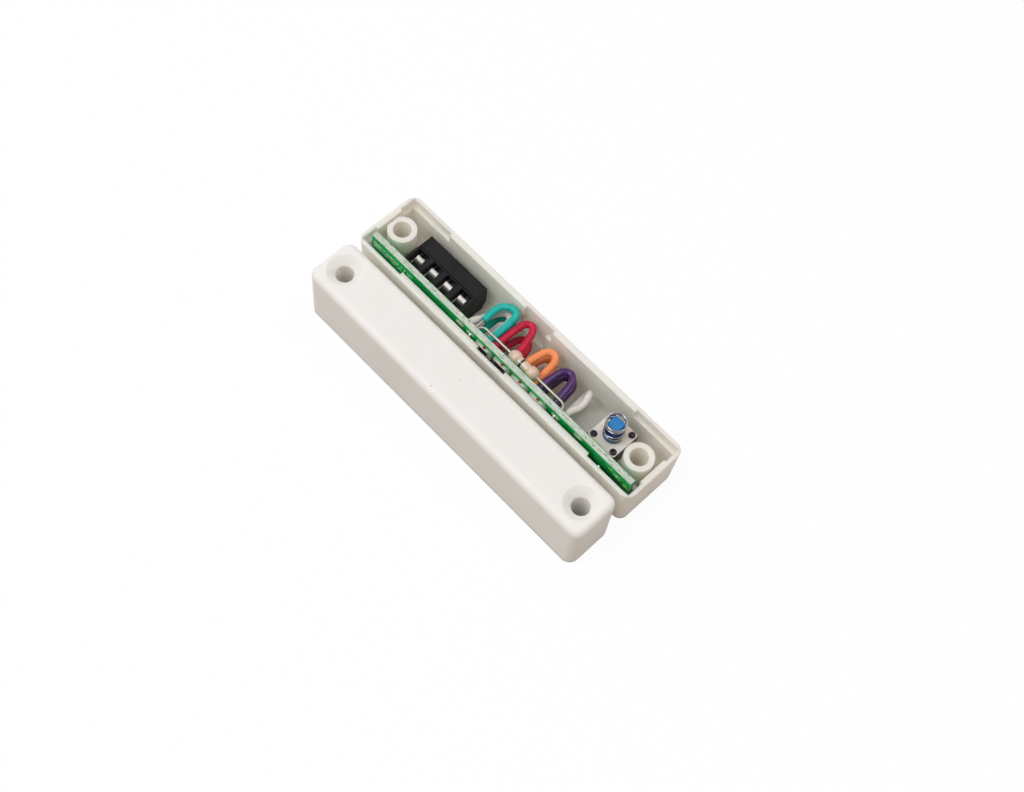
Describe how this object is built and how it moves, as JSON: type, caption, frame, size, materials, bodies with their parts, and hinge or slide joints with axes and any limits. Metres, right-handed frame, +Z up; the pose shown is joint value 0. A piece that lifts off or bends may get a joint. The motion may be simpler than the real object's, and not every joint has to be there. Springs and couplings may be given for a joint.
{
  "type": "magnetic door contact",
  "caption": "Open rectangular switch unit with wire terminals, coloured wire loops and a sprung tamper button, beside a closed magnet unit with countersunk screw holes",
  "frame": {"origin": "middle of the surface both units stand on", "axes": "+X along both units towards the tamper switch, +Y from the magnet unit to the switch unit, +Z up out of the open tray"},
  "size_m": [0.065, 0.0248, 0.0132],
  "materials": {
    "housing_white": "fine matt moulding",
    "board_green": "solder mask over glass laminate",
    "terminal_black": "matt",
    "contact_metal": "bright plated strip",
    "screw_steel": "zinc plated",
    "wire_teal": "satin insulation",
    "wire_red": "satin insulation",
    "wire_orange": "satin insulation",
    "wire_purple": "satin insulation",
    "wire_white": "satin insulation",
    "tinned_copper": "tinned",
    "resistor_beige": "glossy coating",
    "chip_black": "matt coat on ceramic",
    "solder": "dull bright solder",
    "plate_cream": "satin",
    "button_blue": "satin",
    "spring_steel": "bright spring wire",
    "reed_glass": "clear tinted glass",
    "reed_metal": "plated",
    "magnet_dark": "dark sintered"
  },
  "bodies": {
    "root": {"switch_base": "housing_white", "circuit_board": "board_green", "terminal_block_left": "terminal_black", "terminal_block_right": "terminal_black", "terminal_contacts": "contact_metal", "wire_guards": "contact_metal", "terminal_screws": "screw_steel", "teal_loop_upper": "wire_teal", "teal_loop_lower": "wire_teal", "red_loop_upper": "wire_red", "red_loop_lower": "wire_red", "orange_loop_upper": "wire_orange", "orange_loop_lower": "wire_orange", "purple_loop_upper": "wire_purple", "purple_loop_lower": "wire_purple", "white_loop_left": "wire_white", "white_loop_right": "wire_white", "loop_conductors": "tinned_copper", "link_resistor": "resistor_beige", "link_resistor_leads": "tinned_copper", "chip_resistors": "chip_black", "chip_end_caps": "solder", "solder_joints": "solder", "tamper_switch_body": "terminal_black", "tamper_switch_plate": "plate_cream", "tamper_switch_pins": "tinned_copper", "tamper_dome": "spring_steel", "reed_glass": "reed_glass", "reed_blades": "reed_metal", "magnet_housing": "housing_white", "bar_magnet": "magnet_dark"},
    "tamper_plunger": {"tamper_plunger": "button_blue"},
    "tamper_spring": {"tamper_spring": "spring_steel"}
  },
  "joints": [
    {"name": "tamper_press", "type": "slide", "parent": "root", "child": "tamper_plunger", "axis": [0, 0, 1], "range_m": [-0.00025, 0], "stiffness_N_per_m": 4000, "deforming": ["tamper_dome"]},
    {"name": "spring_press", "type": "slide", "parent": "tamper_plunger", "child": "tamper_spring", "axis": [0, 0, 1], "range_m": [-0.001, 0], "stiffness_N_per_m": 300, "deforming": ["tamper_spring"]}
  ]
}
